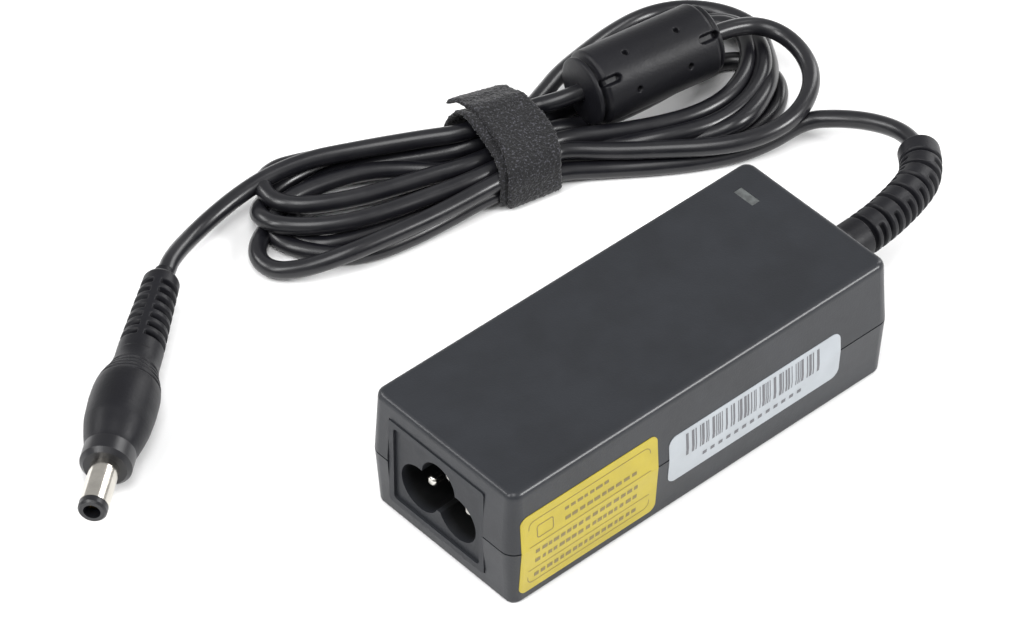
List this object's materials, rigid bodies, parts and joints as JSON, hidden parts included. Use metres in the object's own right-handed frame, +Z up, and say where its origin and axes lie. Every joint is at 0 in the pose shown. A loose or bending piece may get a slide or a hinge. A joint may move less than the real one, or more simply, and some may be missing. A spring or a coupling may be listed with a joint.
{
  "type": "laptop power adapter",
  "caption": "Laptop power adapter: drafted two-part case with a cloverleaf mains inlet, bent strain relief, tied output cord with ferrite bead and round coaxial plug.",
  "frame": {"origin": "middle of the case's underside", "axes": "+X from the inlet end to the cord end, +Z up, -Y the side with the labels"},
  "size_m": [0.1837, 0.1142, 0.0273],
  "materials": {
    "case_plastic": "fine-grained matte charcoal",
    "inlet_plastic": "smooth black",
    "pin_metal": "nickel plated",
    "caution_label": "yellow printed film",
    "barcode_label": "silver printed film",
    "light_pipe": "translucent",
    "moulded_pvc": "satin black moulding",
    "cord_pvc": "glossy black sheath",
    "ferrite": "dark sintered ferrite",
    "strap_fabric": "black hook-and-loop",
    "collar_plastic": "black",
    "nickel": "nickel plated, turned",
    "contact_brass": "plain",
    "board_laminate": "paper laminate",
    "fuse_ceramic": "plain",
    "capacitor_yellow": "plain",
    "copper_wire": "enamelled",
    "component_black": "moulded",
    "capacitor_can": "sleeved can",
    "heat_sink_aluminium": "plain sheet",
    "winding_tape": "polyester tape",
    "capacitor_blue": "lacquered",
    "insulating_film": "thin sheet",
    "wire_insulation": "plain"
  },
  "bodies": {
    "root": {"barcode_label": "barcode_label", "bottom_cover": "case_plastic", "bridge_rectifier": "component_black", "bulk_capacitor": "capacitor_can", "case_strain_relief": "moulded_pvc", "caution_label": "caution_label", "choke_core": "ferrite", "choke_windings": "copper_wire", "circuit_board": "board_laminate", "control_chip": "component_black", "cord_hank": "cord_pvc", "cord_lead": "cord_pvc", "cord_strap": "strap_fabric", "cord_tail": "cord_pvc", "earth_pin": "pin_metal", "ferrite_bead_cover": "moulded_pvc", "ferrite_core": "ferrite", "fuse": "fuse_ceramic", "inlet_housing": "inlet_plastic", "inlet_leads": "wire_insulation", "insulating_sheet": "insulating_film", "light_pipe": "light_pipe", "line_pin": "pin_metal", "neutral_pin": "pin_metal", "optocoupler": "component_black", "output_capacitors": "capacitor_can", "output_choke": "ferrite", "output_leads": "wire_insulation", "output_rectifier": "component_black", "plug_barrel": "nickel", "plug_collar": "collar_plastic", "plug_contact": "contact_brass", "plug_grip": "moulded_pvc", "plug_insulator": "collar_plastic", "primary_heat_sink": "heat_sink_aluminium", "secondary_heat_sink": "heat_sink_aluminium", "shield": "heat_sink_aluminium", "status_led": "light_pipe", "switching_transistor": "component_black", "top_cover": "case_plastic", "transformer_core": "ferrite", "transformer_winding": "winding_tape", "x_capacitor": "capacitor_yellow", "y_capacitor": "capacitor_blue"}
  },
  "joints": []
}
